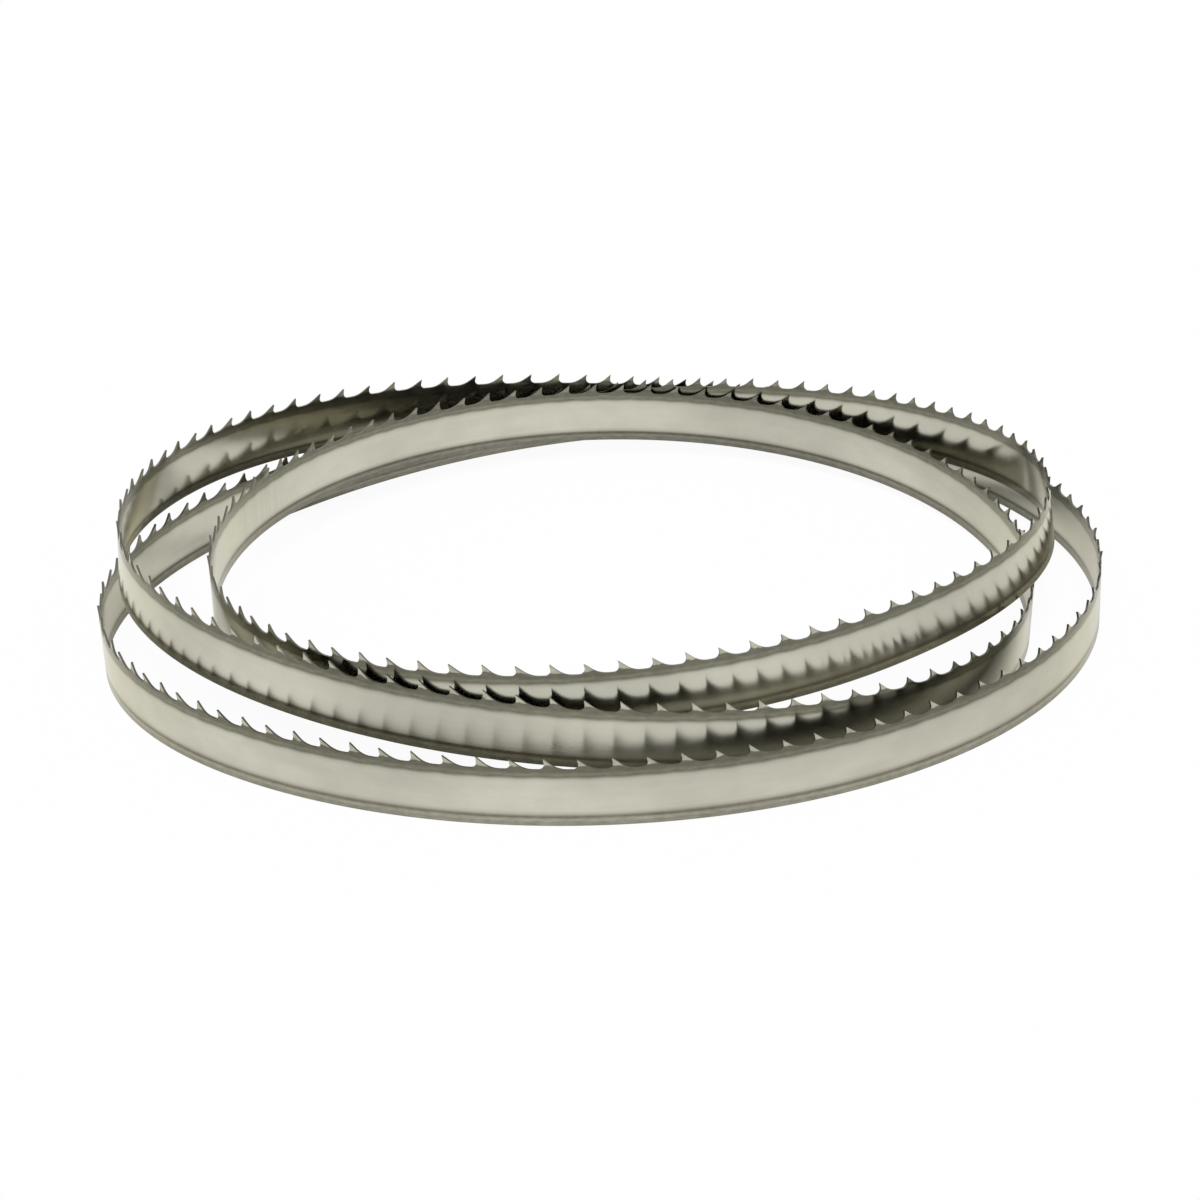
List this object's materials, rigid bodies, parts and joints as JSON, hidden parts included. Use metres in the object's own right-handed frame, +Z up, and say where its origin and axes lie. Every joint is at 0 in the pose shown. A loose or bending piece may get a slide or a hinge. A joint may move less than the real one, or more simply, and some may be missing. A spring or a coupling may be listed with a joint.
{
  "type": "band saw blade",
  "caption": "Endless toothed steel band for a band saw, lying folded in a three-turn coil on its back edge, with hooked teeth bent out to both sides in turn.",
  "frame": {"origin": "on the surface that the coil lies on, under the middle of its outline", "axes": "+Z up, square to the plane of the coil, teeth upwards; +X to the right and +Y to the back as the picture sees it"},
  "size_m": [0.4146, 0.3928, 0.0572],
  "materials": {
    "blade_steel": "bright rolled spring steel, darker and duller along the hardened teeth and the back edge"
  },
  "bodies": {
    "root": {"saw_band": "blade_steel"}
  },
  "joints": []
}
